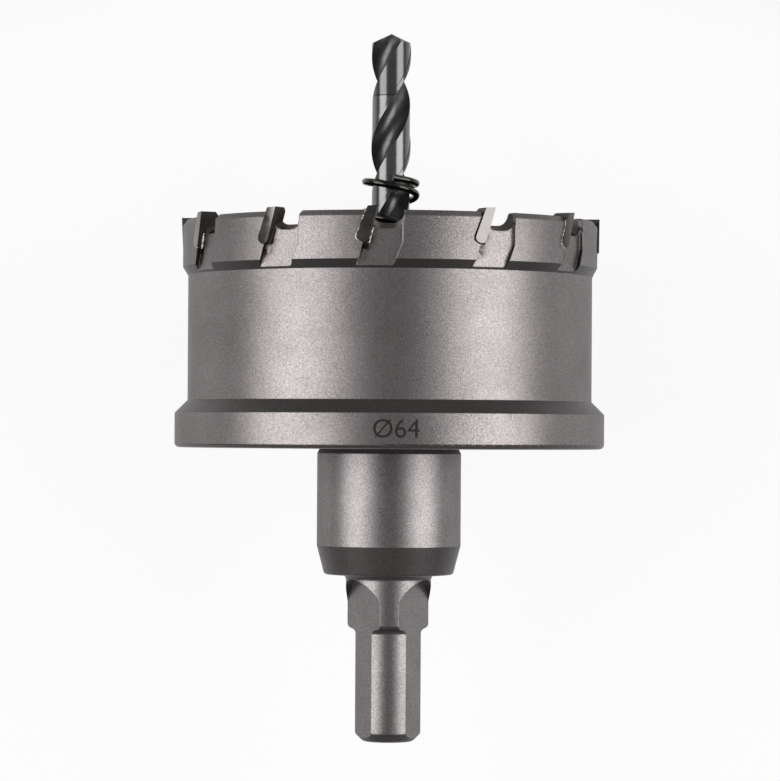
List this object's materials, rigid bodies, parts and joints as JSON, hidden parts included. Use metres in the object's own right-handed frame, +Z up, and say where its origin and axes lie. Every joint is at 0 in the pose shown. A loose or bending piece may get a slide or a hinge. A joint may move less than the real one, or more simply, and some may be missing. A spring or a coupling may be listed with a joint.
{
  "type": "hole saw",
  "caption": "Carbide tipped hole saw: a short toothed cup on a flat-sided chuck arbor, with a twist drill at its centre and a coil spring that pushes the slug out.",
  "frame": {"origin": "on the tool's axis, at the back face of the flange", "axes": "+Y along the tool's axis towards the drill's point, +Z up as the tool lies on its side"},
  "size_m": [0.0656, 0.1082, 0.0656],
  "materials": {
    "blasted_steel": "fine blasted, bright",
    "carbide": "ground sintered carbide",
    "turned_steel": "blasted after turning",
    "drill_steel": "dark flutes, ground lands",
    "spring_wire": "black, glossy",
    "black_screw": "black oxide"
  },
  "bodies": {
    "root": {"saw_cup": "blasted_steel", "carbide_tip_01": "carbide", "carbide_tip_02": "carbide", "carbide_tip_03": "carbide", "carbide_tip_04": "carbide", "carbide_tip_05": "carbide", "carbide_tip_06": "carbide", "carbide_tip_07": "carbide", "carbide_tip_08": "carbide", "carbide_tip_09": "carbide", "carbide_tip_10": "carbide", "carbide_tip_11": "carbide", "carbide_tip_12": "carbide", "arbor": "turned_steel", "pilot_drill": "drill_steel", "ejector_spring": "spring_wire", "clamping_screw": "black_screw"}
  },
  "joints": []
}
